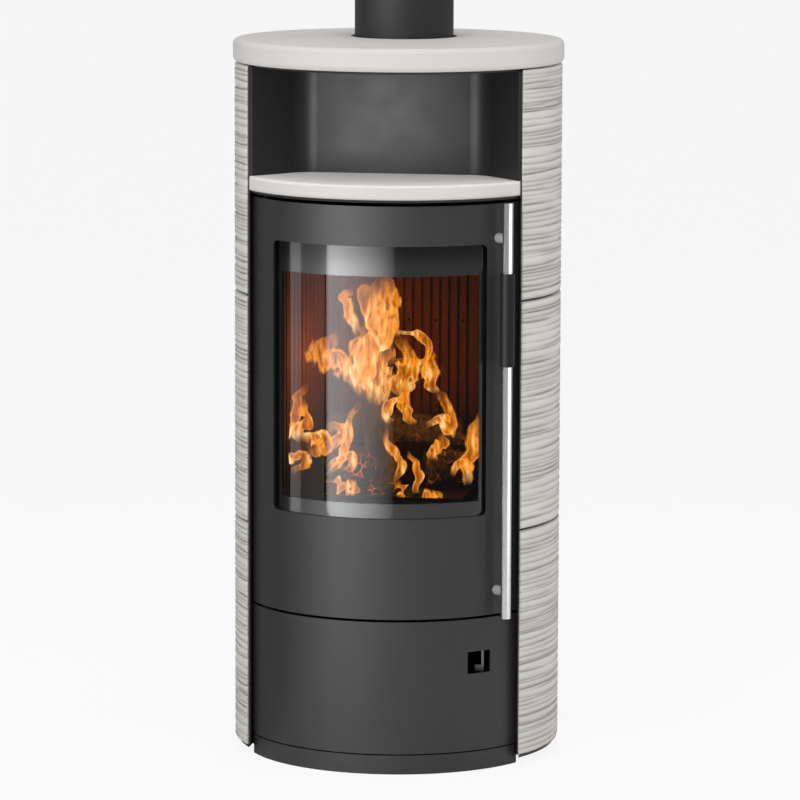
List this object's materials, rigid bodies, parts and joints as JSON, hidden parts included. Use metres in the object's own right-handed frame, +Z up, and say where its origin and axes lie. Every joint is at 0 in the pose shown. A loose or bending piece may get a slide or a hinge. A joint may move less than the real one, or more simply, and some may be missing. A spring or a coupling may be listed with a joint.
{
  "type": "wood stove",
  "caption": "Round free-standing wood stove with raked ceramic side tiles, a warming niche, a curved glass fire door with a bar handle, a lower wood compartment door and a flue pipe.",
  "frame": {"origin": "on the floor, under the axis of the round body", "axes": "+Z up, the doors face -Y, +X to the right seen from the front"},
  "size_m": [0.5099, 0.51, 1.2205],
  "materials": {
    "tile_ceramic": "matt, raked surface",
    "plate_ceramic": "satin smooth",
    "stove_paint": "heat-proof satin anthracite paint",
    "pipe_paint": "heat-proof matt black paint",
    "raw_steel": "black heat-proof primer",
    "fastener_steel": "zinc plated",
    "stainless": "ground stainless steel",
    "black_grip": "matt black heat-proof grip",
    "glass": "clear glass ceramic with a black printed border",
    "seal_rope": "glass fibre rope",
    "vermiculite": "pressed vermiculite",
    "log_wood": "charred firewood",
    "cast_iron": "cast, matt",
    "magnet": "ferrite magnet in a steel pot"
  },
  "bodies": {
    "stove_body": {"tile_left_lower": "tile_ceramic", "tile_left_middle": "tile_ceramic", "tile_left_upper": "tile_ceramic", "tile_right_lower": "tile_ceramic", "tile_right_middle": "tile_ceramic", "tile_right_upper": "tile_ceramic", "top_plate": "plate_ceramic", "shelf_plate": "plate_ceramic", "plinth_front": "stove_paint", "carcass_sides": "stove_paint", "carcass_top": "stove_paint", "niche_wall": "stove_paint", "firebox_top": "stove_paint", "rear_cover": "stove_paint", "base_plate": "stove_paint", "tile_ledges": "stove_paint", "air_spigot": "stove_paint", "flue_pipe": "pipe_paint", "flue_spigot": "pipe_paint", "firebox_wall": "raw_steel", "firebox_front": "raw_steel", "hearth_plate": "raw_steel", "divider_plate": "raw_steel", "wood_back": "raw_steel", "smoke_deflector": "raw_steel", "hearth_lip": "raw_steel", "air_valve_box": "raw_steel", "air_duct": "raw_steel", "rear_rails": "raw_steel", "tile_spacers": "raw_steel", "latch_keeper": "raw_steel", "hinge_block": "raw_steel", "ash_pan": "raw_steel", "levelling_feet": "fastener_steel", "cover_screws": "fastener_steel", "lining_back": "vermiculite", "lining_left": "vermiculite", "lining_right": "vermiculite", "hearth_stones": "vermiculite", "baffle": "vermiculite", "fire_logs": "log_wood", "grate": "cast_iron", "door_magnet": "magnet"},
    "fire_door": {"door_panel": "stove_paint", "door_glass": "glass", "glass_gasket": "seal_rope", "glass_clips": "raw_steel", "clip_screws": "fastener_steel", "door_frame": "raw_steel", "door_seal": "seal_rope", "fire_door_pins": "fastener_steel", "handle_bar": "stainless", "handle_grip": "black_grip", "handle_pegs": "stainless", "latch_tongue": "raw_steel"},
    "wood_door": {"wood_door_panel": "stove_paint", "wood_door_stiffener": "raw_steel", "wood_door_pins": "fastener_steel", "door_striker": "raw_steel"},
    "air_control": {"air_slider": "fastener_steel"}
  },
  "joints": [
    {"name": "fire_door_hinge", "type": "hinge", "parent": "stove_body", "child": "fire_door", "pos_m": [-0.182, -0.133, 0.5538], "axis": [0, 0, -1], "range_deg": [0, 105]},
    {"name": "wood_door_hinge", "type": "hinge", "parent": "stove_body", "child": "wood_door", "pos_m": [-0.182, -0.133, 0.1333], "axis": [0, 0, -1], "range_deg": [0, 105]},
    {"name": "air_slide", "type": "slide", "parent": "stove_body", "child": "air_control", "axis": [1, 0, 0], "range_m": [-0.012, 0.006]}
  ]
}
